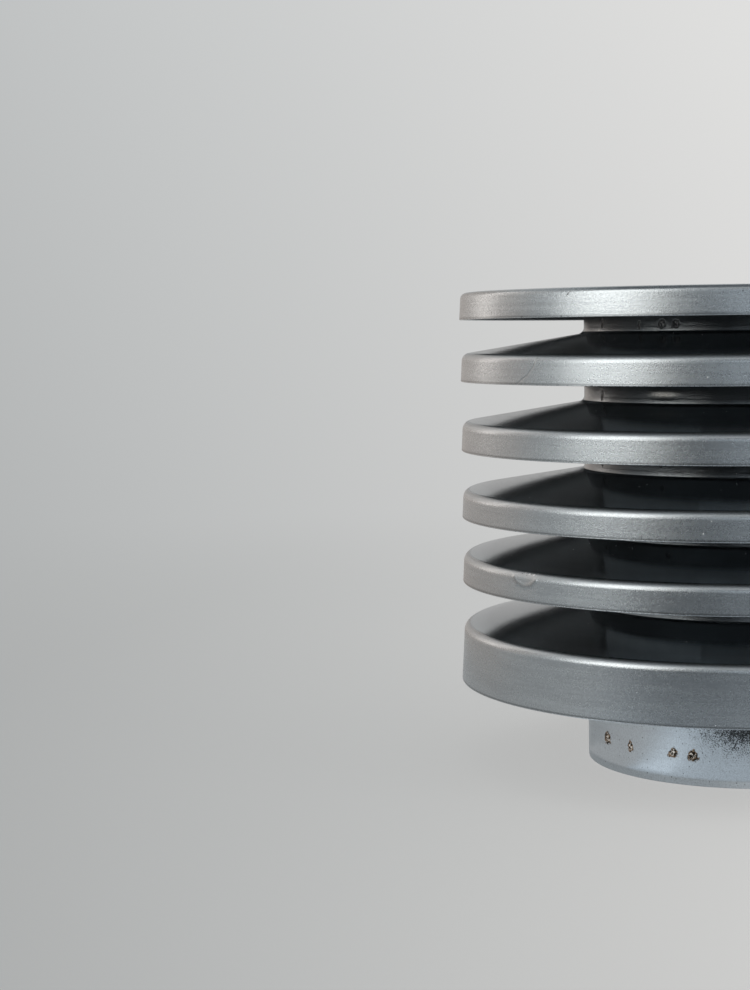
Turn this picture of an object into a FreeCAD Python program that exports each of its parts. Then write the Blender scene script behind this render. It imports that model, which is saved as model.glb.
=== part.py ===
import FreeCAD, Part
import Sketcher
import math
import os
from enum import IntEnum

# Louvered vent cap for a round duct: a stack of spun sheet rings under a flat cap, on a spigot.
#
# Z is up, and the origin is on the axis of the stack at the lower edge of the spigot. The front is -Y.
# Each ring is one sheet, spun into a skirt, a cone and an upturned collar. The spigot runs up inside
# the lowest collar, and rolled straps stand inside the others where the spigot's wall would be. They
# leave the upper half of the stack open between the collars, and carry the rings and the cap.

PARTS_FOLDER = "parts"

# Driving dimensions: millimetres and degrees, and a count.
SIZES = [
    ("sheet", 1.0, "thickness of the ring and cap sheet"),
    ("spigot_radius", 79.6, "outside of the spigot, which goes into a 160 mm duct"),
    ("spigot_wall", 1.0, "thickness of the spigot sheet"),
    ("duct_depth", 40.0, "length of the spigot that goes into the duct, up to its stop bead"),
    ("bead_height", 9.0, "height of the stop bead, along the spigot"),
    ("bead_rise", 3.0, "how far the stop bead stands out from the spigot"),
    ("bead_bend", 3.0, "inside radius of the bends at the stop bead"),
    ("nest_gap", 0.1, "clearance between sheets that are welded face to face"),
    ("louvre_radius", 140.4, "outside of a louvre ring at its lower edge"),
    ("base_radius", 141.3, "outside of the base ring at its lower edge"),
    ("cap_radius", 140.8, "outside of the cap at its lower edge"),
    ("louvre_skirt", 13.8, "height of a louvre ring's skirt, to the corner with its cone"),
    ("base_skirt", 27.6, "height of the base ring's skirt, to the corner with its cone"),
    ("cap_skirt", 12.8, "height of the cap's skirt, to the corner with its top"),
    ("skirt_draft", 3.2, "lean of the skirts, wider at the bottom"),
    ("cone_slope", 9.2, "fall of the ring cones, outwards"),
    ("cap_slope", 1.2, "fall of the cap's top, outwards"),
    ("cap_centre", 24.0, "radius of the flat middle of the cap's top"),
    ("collar_rise", 11.0, "height of a collar above the corner with its cone"),
    ("shoulder_bend", 3.0, "outside radius between a skirt and its cone or top"),
    ("cove_bend", 4.5, "outside radius between a cone and its collar"),
    ("base_height", 39.4, "lower edge of the base ring above that of the spigot"),
    ("louvre_pitch", 32.6, "even spacing of the cones, from the base ring up"),
    ("cap_height", 29.4, "lower edge of the cap above the even place of the top ring"),
    ("strap_count", 3, "number of straps, evenly spaced"),
    ("strap_sheet", 1.0, "thickness of a strap"),
    ("strap_width", 66.0, "width of a strap, round the curve"),
    ("strap_azimuth", 41.0, "middle of the first strap, from -Y towards -X"),
    ("strap_end", 6.0, "lower end of the straps above the spigot's lower edge"),
    ("strap_foot", 14.0, "length of the foot that a strap turns in under the cap"),
    ("strap_bend", 2.0, "inside radius of the bend between a strap and its foot"),
    ("set_clear", 2.0, "height above the spigot where the set in a strap starts"),
    ("set_rise", 6.0, "height of the set, which takes a strap from the spigot to the collars"),
]

# How far each louvre ring was welded off its even place, the lowest ring first.
LIFTS = [
    ("lift_one", 1.3),
    ("lift_two", -0.3),
    ("lift_three", -0.7),
    ("lift_four", -0.1),
]

# Sizes that follow from the driving ones, as expressions.
COLLAR_OUTSIDE = "(Sizes.spigot_radius + Sizes.nest_gap + Sizes.sheet)"
STRAP_LOW_RADIUS = "(Sizes.spigot_radius - Sizes.spigot_wall - Sizes.nest_gap)"
STRAP_HIGH_RADIUS = "Sizes.spigot_radius"
BASE_CONE_RISE = (
    "((Sizes.base_radius - Sizes.base_skirt * tan(Sizes.skirt_draft)"
    f" - {COLLAR_OUTSIDE}) * tan(Sizes.cone_slope))"
)
SPIGOT_TOP = f"(Sizes.base_height + Sizes.base_skirt + {BASE_CONE_RISE} + Sizes.collar_rise)"
FIRST_PLACE = "(Sizes.base_height + Sizes.base_skirt - Sizes.louvre_skirt)"
CAP_PLACE = f"({FIRST_PLACE} + {len(LIFTS)} * Sizes.louvre_pitch + Sizes.cap_height)"
CAP_EDGE = "(Sizes.cap_radius - Sizes.cap_skirt * tan(Sizes.skirt_draft))"
STRAP_TOP = (
    f"({CAP_PLACE} + Sizes.cap_skirt + ({CAP_EDGE} - {STRAP_HIGH_RADIUS}) * tan(Sizes.cap_slope)"
    " - (Sizes.sheet + Sizes.nest_gap) / cos(Sizes.cap_slope))"
)
SET_PLACE = f"({SPIGOT_TOP} + Sizes.set_clear)"

# Radii of the bends, on the outer and the inner face.
SHOULDER = ("Sizes.shoulder_bend", "Sizes.shoulder_bend - Sizes.sheet")
COVE = ("Sizes.cove_bend", "Sizes.cove_bend + Sizes.sheet")
FOOT_BEND = ("Sizes.strap_bend + Sizes.strap_sheet", "Sizes.strap_bend")
BEAD_FOOT = ("Sizes.bead_bend", "Sizes.bead_bend + Sizes.spigot_wall")
BEAD_CREST = ("Sizes.bead_bend + Sizes.spigot_wall", "Sizes.bead_bend")

# Places in a point.
X_OF = 0
Y_OF = 1

# How near a circle has to be to a corner of the section to be the one that it turned.
SAME = 1e-4


class Ref(IntEnum):
    """A sketch's numbers for the ends of a line and for its own axes."""

    START = 1
    END = 2
    X_AXIS = -1
    Y_AXIS = -2


def make_sizes(doc):
    """The sheet of driving dimensions: a name, a number under that alias, and a note on each row."""
    sheet = doc.addObject("Spreadsheet::Sheet", "Sizes")
    lifts = [(name, lift, "height of a louvre ring off its even place") for name, lift in LIFTS]
    for row, (name, number, note) in enumerate(SIZES + lifts, start=1):
        sheet.set(f"A{row}", name)
        sheet.set(f"B{row}", str(number))
        sheet.set(f"C{row}", note)
        sheet.setAlias(f"B{row}", name)
    doc.recompute()


def value(doc, expression):
    """What an expression over the sheet comes to, for the first draft of a sketch."""
    return float(doc.Sizes.evalExpression(expression))


def new_body(doc, label):
    """An empty body with its own label."""
    body = doc.addObject("PartDesign::Body", label)
    body.Label = label
    return body


def new_sketch(body, name, role):
    """An empty sketch on one of the body's own origin planes."""
    plane = next(part for part in body.Origin.OriginFeatures if part.Role == role)
    sketch = body.newObject("Sketcher::SketchObject", name)
    sketch.AttachmentSupport = [(plane, "")]
    sketch.MapMode = "FlatFace"
    return sketch


def hold(sketch, name, expression, kind, *where):
    """A named dimension of a sketch, bound to an expression over the sheet."""
    number = value(sketch.Document, expression)
    if kind == "Angle":
        number = math.radians(number)
    index = sketch.addConstraint(Sketcher.Constraint(kind, *where, number))
    sketch.renameConstraint(index, name)
    sketch.setExpression(f"Constraints.{name}", expression)


def fix(sketch, kind, *where):
    """A constraint of a sketch that has no number."""
    sketch.addConstraint(Sketcher.Constraint(kind, *where))


def left_of(path, distance):
    """The corners of a path moved to its left: mitred, with the ends squared off."""
    steps = [(b[X_OF] - a[X_OF], b[Y_OF] - a[Y_OF]) for a, b in zip(path, path[1:])]
    normals = [(-dy / math.hypot(dx, dy), dx / math.hypot(dx, dy)) for dx, dy in steps]
    moved = []
    for index, (x, y) in enumerate(path):
        before = normals[max(index - 1, 0)]
        after = normals[min(index, len(normals) - 1)]
        share = distance / (1.0 + before[X_OF] * after[X_OF] + before[Y_OF] * after[Y_OF])
        shift = (share * (before[X_OF] + after[X_OF]), share * (before[Y_OF] + after[Y_OF]))
        moved.append((x + shift[X_OF], y + shift[Y_OF]))
    return moved


def draw_sheet(sketch, path, thickness):
    """Closed section of bent sheet: the path is its outer face, and the inner face lies to the left.

    The path's runs are the lines 0, 1, 2 and so on. The caller holds them, and the inner face follows.
    The inner face is drawn backwards after them, so the line behind run number n is 2 * runs - n.
    """
    corners = path + left_of(path, value(sketch.Document, thickness))[::-1]
    for start, end in zip(corners, corners[1:] + corners[:1]):
        line = Part.LineSegment(FreeCAD.Vector(*start, 0), FreeCAD.Vector(*end, 0))
        sketch.addGeometry(line, False)
    last_line = len(corners) - 1
    for line in range(len(corners)):
        following = 0 if line == last_line else line + 1
        fix(sketch, "Coincident", line, Ref.END, following, Ref.START)
    runs = len(path) - 1
    for run in range(runs):
        inner = 2 * runs - run
        fix(sketch, "Parallel", run, inner)
        hold(sketch, f"sheet_{run}", thickness, "Distance", inner, Ref.START, run)
    fix(sketch, "Perpendicular", runs - 1, runs)
    fix(sketch, "Perpendicular", 0, last_line)


def turn(body, sketch, name):
    """The section turned about Z."""
    turned = body.newObject("PartDesign::Revolution", name)
    turned.Profile = sketch
    turned.ReferenceAxis = (sketch, ["V_Axis"])
    body.Document.recompute()
    return turned


def round_corner(body, name, corner, radius):
    """Round the circle that a corner of the section turned."""
    before = body.Tip
    edge = next(
        number
        for number, candidate in enumerate(before.Shape.Edges, start=1)
        if isinstance(candidate.Curve, Part.Circle)
        and abs(candidate.Curve.Radius - corner.x) < SAME
        and abs(candidate.Curve.Center.z - corner.y) < SAME
    )
    rounded = body.newObject("PartDesign::Fillet", name)
    rounded.Base = (before, [f"Edge{edge}"])
    rounded.setExpression("Radius", radius)
    body.Document.recompute()


def bend(body, name, sketch, run, radii):
    """The bend after a run of the sheet: its path's face and its inner face, with a radius each."""
    runs = (sketch.GeometryCount - 2) // 2
    faces = {"outer": sketch.Geometry[run].EndPoint, "inner": sketch.Geometry[2 * runs - run].StartPoint}
    for (face, corner), radius in zip(faces.items(), radii):
        round_corner(body, f"{name}_{face}", corner, radius)


def draw_skirt(sketch, radius, skirt):
    """Hold run 0 as a skirt: its lower edge at height 0, and its radius, height and lean."""
    fix(sketch, "PointOnObject", 0, Ref.START, Ref.X_AXIS)
    hold(sketch, "radius", radius, "DistanceX", Ref.X_AXIS, Ref.START, 0, Ref.START)
    hold(sketch, "skirt", skirt, "DistanceY", Ref.X_AXIS, Ref.START, 0, Ref.END)
    hold(sketch, "lean", "90 + Sizes.skirt_draft", "Angle", Ref.X_AXIS, Ref.START, 0, Ref.START)


def skirt_corner(doc, radius, skirt):
    """Where the outer face of a skirt meets the face above it."""
    return value(doc, f"{radius} - {skirt} * tan(Sizes.skirt_draft)"), value(doc, skirt)


def make_ring(doc, label, radius, skirt, height):
    """One spun ring: a skirt, a cone that rises inwards, and a collar turned up round the duct."""
    body = new_body(doc, label)
    body.setExpression("Placement.Base.z", height)
    corner = skirt_corner(doc, radius, skirt)
    collar = value(doc, COLLAR_OUTSIDE)
    cone_top = corner[Y_OF] + (corner[X_OF] - collar) * value(doc, "tan(Sizes.cone_slope)")
    collar_top = cone_top + value(doc, "Sizes.collar_rise")
    path = [(value(doc, radius), 0.0), corner, (collar, cone_top), (collar, collar_top)]
    section = new_sketch(body, f"{label}_section", "XZ_Plane")
    draw_sheet(section, path, "Sizes.sheet")
    draw_skirt(section, radius, skirt)
    hold(section, "slope", "180 - Sizes.cone_slope", "Angle", Ref.X_AXIS, Ref.START, 1, Ref.START)
    hold(section, "collar", COLLAR_OUTSIDE, "DistanceX", Ref.X_AXIS, Ref.START, 2, Ref.START)
    hold(section, "rise", "Sizes.collar_rise", "DistanceY", 2, Ref.START, 2, Ref.END)
    fix(section, "Vertical", 2)
    turn(body, section, f"{label}_spun")
    bend(body, f"{label}_shoulder", section, 0, SHOULDER)
    bend(body, f"{label}_cove", section, 1, COVE)
    return body


def make_cap(doc):
    """The cap: a skirt, and a top that falls very slightly from a flat middle."""
    body = new_body(doc, "top_cap")
    body.setExpression("Placement.Base.z", CAP_PLACE)
    corner = skirt_corner(doc, "Sizes.cap_radius", "Sizes.cap_skirt")
    centre = value(doc, "Sizes.cap_centre")
    top = corner[Y_OF] + (corner[X_OF] - centre) * value(doc, "tan(Sizes.cap_slope)")
    path = [(value(doc, "Sizes.cap_radius"), 0.0), corner, (centre, top), (0.0, top)]
    section = new_sketch(body, "top_cap_section", "XZ_Plane")
    draw_sheet(section, path, "Sizes.sheet")
    draw_skirt(section, "Sizes.cap_radius", "Sizes.cap_skirt")
    hold(section, "fall", "180 - Sizes.cap_slope", "Angle", Ref.X_AXIS, Ref.START, 1, Ref.START)
    hold(section, "middle", "Sizes.cap_centre", "DistanceX", Ref.X_AXIS, Ref.START, 2, Ref.START)
    fix(section, "Horizontal", 2)
    fix(section, "PointOnObject", 2, Ref.END, Ref.Y_AXIS)
    turn(body, section, "top_cap_spun")
    bend(body, "top_cap_rim", section, 0, SHOULDER)
    return body


def make_spigot(doc):
    """The spigot: a tube up to the top of the base ring's collar, with a rolled bead that stops the duct."""
    body = new_body(doc, "spigot")
    outside = value(doc, "Sizes.spigot_radius")
    crest = outside + value(doc, "Sizes.bead_rise")
    bead_foot = value(doc, "Sizes.duct_depth")
    bead_head = bead_foot + value(doc, "Sizes.bead_height")
    bead_middle = (bead_foot + bead_head) / 2
    top = value(doc, SPIGOT_TOP)
    path = [(outside, 0.0), (outside, bead_foot), (crest, bead_middle), (outside, bead_head), (outside, top)]
    section = new_sketch(body, "spigot_section", "XZ_Plane")
    draw_sheet(section, path, "Sizes.spigot_wall")
    fix(section, "PointOnObject", 0, Ref.START, Ref.X_AXIS)
    fix(section, "Vertical", 0)
    hold(section, "outside", "Sizes.spigot_radius", "DistanceX", Ref.X_AXIS, Ref.START, 0, Ref.START)
    hold(section, "duct_depth", "Sizes.duct_depth", "DistanceY", Ref.X_AXIS, Ref.START, 0, Ref.END)
    hold(section, "bead_out", "Sizes.bead_rise", "DistanceX", 1, Ref.START, 1, Ref.END)
    hold(section, "bead_back", "Sizes.bead_rise", "DistanceX", 2, Ref.END, 2, Ref.START)
    hold(section, "bead_lower_half", "Sizes.bead_height / 2", "DistanceY", 1, Ref.START, 1, Ref.END)
    hold(section, "bead_upper_half", "Sizes.bead_height / 2", "DistanceY", 2, Ref.START, 2, Ref.END)
    fix(section, "Vertical", 3)
    hold(section, "top", SPIGOT_TOP, "DistanceY", Ref.X_AXIS, Ref.START, 3, Ref.END)
    turn(body, section, "spigot_rolled")
    bend(body, "bead_lower_foot", section, 0, BEAD_FOOT)
    bend(body, "bead_crest", section, 1, BEAD_CREST)
    bend(body, "bead_upper_foot", section, 2, BEAD_FOOT)
    return body


def make_strap(doc, number):
    """One rolled strap: it stands in the spigot, sets out to the collars and turns a foot under the cap."""
    label = f"strap_{number + 1}"
    body = new_body(doc, label)
    turned_to = f"270 - Sizes.strap_azimuth - {number} * 360 / Sizes.strap_count"
    body.setExpression("Placement.Rotation.Angle", turned_to)
    low = value(doc, STRAP_LOW_RADIUS)
    high = value(doc, STRAP_HIGH_RADIUS)
    set_foot = value(doc, SET_PLACE)
    set_head = set_foot + value(doc, "Sizes.set_rise")
    top = value(doc, STRAP_TOP)
    foot = value(doc, "Sizes.strap_foot")
    toe = (high - foot, top + foot * value(doc, "tan(Sizes.cap_slope)"))
    path = [(low, value(doc, "Sizes.strap_end")), (low, set_foot), (high, set_head), (high, top), toe]
    section = new_sketch(body, f"{label}_section", "XZ_Plane")
    draw_sheet(section, path, "Sizes.strap_sheet")
    hold(section, "low_radius", STRAP_LOW_RADIUS, "DistanceX", Ref.X_AXIS, Ref.START, 0, Ref.START)
    hold(section, "lower_end", "Sizes.strap_end", "DistanceY", Ref.X_AXIS, Ref.START, 0, Ref.START)
    fix(section, "Vertical", 0)
    hold(section, "set_start", SET_PLACE, "DistanceY", Ref.X_AXIS, Ref.START, 0, Ref.END)
    hold(section, "set_rise", "Sizes.set_rise", "DistanceY", 1, Ref.START, 1, Ref.END)
    hold(section, "high_radius", STRAP_HIGH_RADIUS, "DistanceX", Ref.X_AXIS, Ref.START, 2, Ref.START)
    fix(section, "Vertical", 2)
    hold(section, "top", STRAP_TOP, "DistanceY", Ref.X_AXIS, Ref.START, 2, Ref.END)
    hold(section, "fall", "180 - Sizes.cap_slope", "Angle", Ref.X_AXIS, Ref.START, 3, Ref.START)
    hold(section, "foot", "Sizes.strap_foot", "DistanceX", 3, Ref.END, 3, Ref.START)
    rolled = turn(body, section, f"{label}_rolled")
    rolled.Midplane = True
    rolled.setExpression("Angle", f"Sizes.strap_width / {STRAP_HIGH_RADIUS} * 180 / pi")
    doc.recompute()
    bend(body, f"{label}_foot_bend", section, 2, FOOT_BEND)
    return body


def check(doc, bodies):
    """Stop if any object failed, or a piece isn't one valid solid."""
    for item in doc.Objects:
        if "Invalid" in item.State or "Error" in item.State:
            raise RuntimeError(f"{item.Name} failed: {item.State}")
    for sketch in doc.findObjects("Sketcher::SketchObject"):
        if not sketch.FullyConstrained:
            raise RuntimeError(f"{sketch.Name} isn't fully constrained")
    for body in bodies:
        if body.Shape.isNull() or not body.Shape.isValid() or len(body.Shape.Solids) != 1:
            raise RuntimeError(f"{body.Label} isn't one valid solid")


def main():
    doc = FreeCAD.newDocument("LouveredVentCap")
    make_sizes(doc)
    bodies = [make_spigot(doc)]
    bodies.append(make_ring(doc, "base_ring", "Sizes.base_radius", "Sizes.base_skirt", "Sizes.base_height"))
    for number, (lift, _) in enumerate(LIFTS, start=1):
        place = f"{FIRST_PLACE} + {number} * Sizes.louvre_pitch + Sizes.{lift}"
        ring = make_ring(doc, f"louvre_ring_{number}", "Sizes.louvre_radius", "Sizes.louvre_skirt", place)
        bodies.append(ring)
    bodies.append(make_cap(doc))
    for number in range(int(doc.Sizes.strap_count)):
        bodies.append(make_strap(doc, number))
    doc.recompute()
    check(doc, bodies)
    os.makedirs(PARTS_FOLDER, exist_ok=True)
    for body in bodies:
        body.Shape.exportStep(os.path.join(PARTS_FOLDER, f"{body.Label}.step"))


main()
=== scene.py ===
import math
import bpy
from mathutils import Matrix, Vector


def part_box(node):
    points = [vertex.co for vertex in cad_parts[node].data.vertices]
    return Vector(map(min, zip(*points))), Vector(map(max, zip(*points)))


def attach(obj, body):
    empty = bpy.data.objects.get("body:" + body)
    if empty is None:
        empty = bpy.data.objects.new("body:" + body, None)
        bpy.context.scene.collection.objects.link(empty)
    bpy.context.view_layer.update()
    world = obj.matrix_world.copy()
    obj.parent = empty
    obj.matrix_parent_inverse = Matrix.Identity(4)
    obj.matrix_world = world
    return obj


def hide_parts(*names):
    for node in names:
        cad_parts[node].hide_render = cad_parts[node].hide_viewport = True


# Louvered vent cap: satin galvanised rings, cap and spigot, spun and spot welded, in a pale studio.
#
# Metres, Z up, the stack's axis on Z, and the front on -Y. Azimuths are degrees from -Y towards -X,
# which is the side that the photograph shows.

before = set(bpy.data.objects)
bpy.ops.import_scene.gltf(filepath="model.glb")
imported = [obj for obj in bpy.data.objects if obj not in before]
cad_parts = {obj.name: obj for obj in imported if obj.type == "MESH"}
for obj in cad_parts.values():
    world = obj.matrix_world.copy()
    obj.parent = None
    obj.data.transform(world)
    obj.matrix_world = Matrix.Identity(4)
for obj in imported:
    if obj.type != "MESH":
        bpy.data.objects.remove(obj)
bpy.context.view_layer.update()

MM = 0.001
FULL_TURN = 2 * math.pi

# Sheet metal sizes, in millimetres, as in the solids.
SHEET = 1.0
SKIRT_DRAFT = math.radians(3.2)
CONE_SLOPE = math.radians(9.2)
CAP_SLOPE = math.radians(1.2)
CAP_CENTRE = 24.0
CAP_CENTRE_BEND = 60.0
CAP_BEND = 3.0
COLLAR_OUTSIDE = 80.7
LOUVRE_OUTSIDE = 140.4
CAP_OUTSIDE = 140.8
COLLAR_RISE = 11.0
LOUVRE_SKIRT = 13.8
BASE_SKIRT = 27.6
CAP_SKIRT = 12.8
SPIGOT_OUTSIDE = 79.6
SPIGOT_WALL = 1.0
DUCT_DEPTH = 40.0
BEAD_HEIGHT = 9.0
BEAD_RISE = 3.0
BEAD_BEND = 3.0

# Bends and rounded edges that follow the photograph more closely than the solids do.
EDGE_ROUND = 0.28
SHOULDER_BEND = 4.0
COVE_BEND = 3.2

# How much lower the corner of each ring's shoulder lies than in the solids, in millimetres.
SHOULDER_DROP = {
    "base_ring": 0.85,
    "louvre_ring_1": 0.75,
    "louvre_ring_2": 0.9,
    "louvre_ring_3": 0.2,
    "louvre_ring_4": 0.65,
}
USUAL_DROP = 0.6

# Where the straps are welded, and how the mesh is divided.
STRAP_AZIMUTH = 41.0
STRAP_COUNT = 3
STRAP_STEP = 360.0 / STRAP_COUNT
SEGMENTS = 432
DENTED_SEGMENTS = 720
ARC_STEPS = 9
EDGE_STEPS = 4
EDGE_SUPPORT = 0.12
SUPPORT = 0.25
RUN_STEP = 3.2


# Sections

def bent_face(path, bends):
    """Points and left-hand normals along the outer face of bent sheet, with support points at each bend."""
    points = [Vector(corner) for corner in path]
    directions = [(b - a).normalized() for a, b in zip(points, points[1:])]
    stations = []

    def add(point, direction):
        stations.append((point.copy(), Vector((-direction.y, direction.x))))

    start = points[0]
    for index, direction in enumerate(directions):
        last = index == len(directions) - 1
        end = points[index + 1]
        cut = 0.0
        if not last:
            turn = direction.angle_signed(directions[index + 1])
            cut = bends[index] * math.tan(abs(turn) / 2)
        stop = end - direction * cut
        length = (stop - start).length
        support = min(SUPPORT, length / 4)
        count = max(1, round((length - 2 * support) / RUN_STEP))
        inner = [support + (length - 2 * support) * n / count for n in range(count + 1)]
        for along in [0.0] + inner + [length]:
            add(start + direction * along, direction)
        if last:
            break
        following = directions[index + 1]
        side = 1.0 if direction.x * following.y - direction.y * following.x > 0 else -1.0
        to_centre = Vector((-direction.y, direction.x)) * side
        centre = stop + to_centre * bends[index]
        for step in range(1, ARC_STEPS):
            angle = side * abs(turn) * step / ARC_STEPS
            spun = Matrix.Rotation(angle, 2)
            add(centre - spun @ to_centre * bends[index], spun @ direction)
        start = end + following * cut
    return stations


def sheet_section(path, bends, sheet):
    """The closed outline of bent sheet: outer face, rounded edge, inner face, rounded edge."""
    outer = bent_face(path, bends)
    inner = [(point + normal * sheet, -normal) for point, normal in outer]
    first = outer[0][0]
    last = outer[-1][0]

    def rounded_edge(start, normal, along):
        """The edge from one face to the other: two quarter rounds with a flat between them."""
        edge = []
        for centre_at, begin in ((EDGE_ROUND, 0.0), (sheet - EDGE_ROUND, 90.0)):
            centre = start + normal * centre_at - along * EDGE_ROUND
            for step in range(EDGE_STEPS + 1):
                angle = math.radians(begin + 90.0 * step / EDGE_STEPS)
                across = normal * EDGE_ROUND * math.cos(angle)
                outward = along * EDGE_ROUND * math.sin(angle)
                edge.append(centre - across + outward)
        return edge

    trimmed_outer = [point for point, _ in outer[1:-1]]
    trimmed_inner = [point for point, _ in inner[1:-1]]
    top = rounded_edge(last, outer[-1][1], (outer[-1][0] - outer[-2][0]).normalized())
    bottom = rounded_edge(first, outer[0][1], (outer[0][0] - outer[1][0]).normalized())
    trimmed_outer[0] = first + (trimmed_outer[1] - first).normalized() * (EDGE_ROUND + EDGE_SUPPORT)
    trimmed_inner[0] = trimmed_outer[0] + outer[0][1] * sheet
    trimmed_outer[-1] = last + (trimmed_outer[-2] - last).normalized() * (EDGE_ROUND + EDGE_SUPPORT)
    trimmed_inner[-1] = trimmed_outer[-1] + outer[-1][1] * sheet
    return trimmed_outer + top + trimmed_inner[::-1] + bottom[::-1]


def cone_foot(radius, skirt):
    """The height above a ring's lower edge at which its cone would meet its collar."""
    shoulder = radius - skirt * math.tan(SKIRT_DRAFT)
    return skirt + (shoulder - COLLAR_OUTSIDE) * math.tan(CONE_SLOPE)


def ring_section(radius, skirt, drop):
    """A ring's section in radius and height above its lower edge. The drop doesn't move the collar's top."""
    low_skirt = skirt - drop
    shoulder = Vector((radius - low_skirt * math.tan(SKIRT_DRAFT), low_skirt))
    cove = Vector((COLLAR_OUTSIDE, cone_foot(radius, low_skirt)))
    collar_top = Vector((COLLAR_OUTSIDE, cone_foot(radius, skirt) + COLLAR_RISE))
    return sheet_section([(radius, 0.0), shoulder, cove, collar_top], [SHOULDER_BEND, COVE_BEND], SHEET)


def spigot_section(height):
    """The spigot's section: a tube with its stop bead."""
    half = BEAD_HEIGHT / 2
    path = [
        (SPIGOT_OUTSIDE, 0.0),
        (SPIGOT_OUTSIDE, DUCT_DEPTH),
        (SPIGOT_OUTSIDE + BEAD_RISE, DUCT_DEPTH + half),
        (SPIGOT_OUTSIDE, DUCT_DEPTH + BEAD_HEIGHT),
        (SPIGOT_OUTSIDE, height),
    ]
    return sheet_section(path, [BEAD_BEND, BEAD_BEND + SPIGOT_WALL, BEAD_BEND], SPIGOT_WALL)


def cap_section(radius):
    """The cap's section, from its lower edge to the axis."""
    shoulder = Vector((radius - CAP_SKIRT * math.tan(SKIRT_DRAFT), CAP_SKIRT))
    middle = Vector((CAP_CENTRE, shoulder.y + (shoulder.x - CAP_CENTRE) * math.tan(CAP_SLOPE)))
    path = [(radius, 0.0), shoulder, middle, (0.0, middle.y)]
    return sheet_section(path, [CAP_BEND, CAP_CENTRE_BEND], SHEET)


# Meshes

def spin(name, section, segments, shape=None):
    """The section turned about Z, with the distance round it, in metres, as second texture coordinate."""
    count = len(section)
    lengths = [0.0]
    for a, b in zip(section, section[1:] + section[:1]):
        lengths.append(lengths[-1] + (b - a).length * MM)
    vertices = []
    for segment in range(segments):
        azimuth = FULL_TURN * segment / segments
        for point in section:
            place = Vector((-math.sin(azimuth) * point.x, -math.cos(azimuth) * point.x, point.y)) * MM
            vertices.append(shape(place) if shape else place)
    faces = []
    spans = []
    for segment in range(segments):
        following = (segment + 1) % segments
        for row in range(count):
            above = (row + 1) % count
            faces.append((
                segment * count + row,
                segment * count + above,
                following * count + above,
                following * count + row,
            ))
            near = segment / segments
            far = (segment + 1) / segments
            start = lengths[row]
            end = lengths[row + 1]
            spans.append(((near, start), (near, end), (far, end), (far, start)))
    mesh = bpy.data.meshes.new(name)
    mesh.from_pydata(vertices, [], faces)
    layer = mesh.uv_layers.new(name="section")
    layer.data.foreach_set("uv", [number for span in spans for corner in span for number in corner])
    mesh.shade_smooth()
    mesh.validate()
    mesh.update()
    piece = bpy.data.objects.new(name, mesh)
    bpy.context.scene.collection.objects.link(piece)
    return piece


def seat(piece, node, height):
    """Put a piece at its height in place of its solid."""
    piece.location = (0.0, 0.0, height)
    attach(piece, "root")
    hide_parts(node)


# Shader nodes

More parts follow.
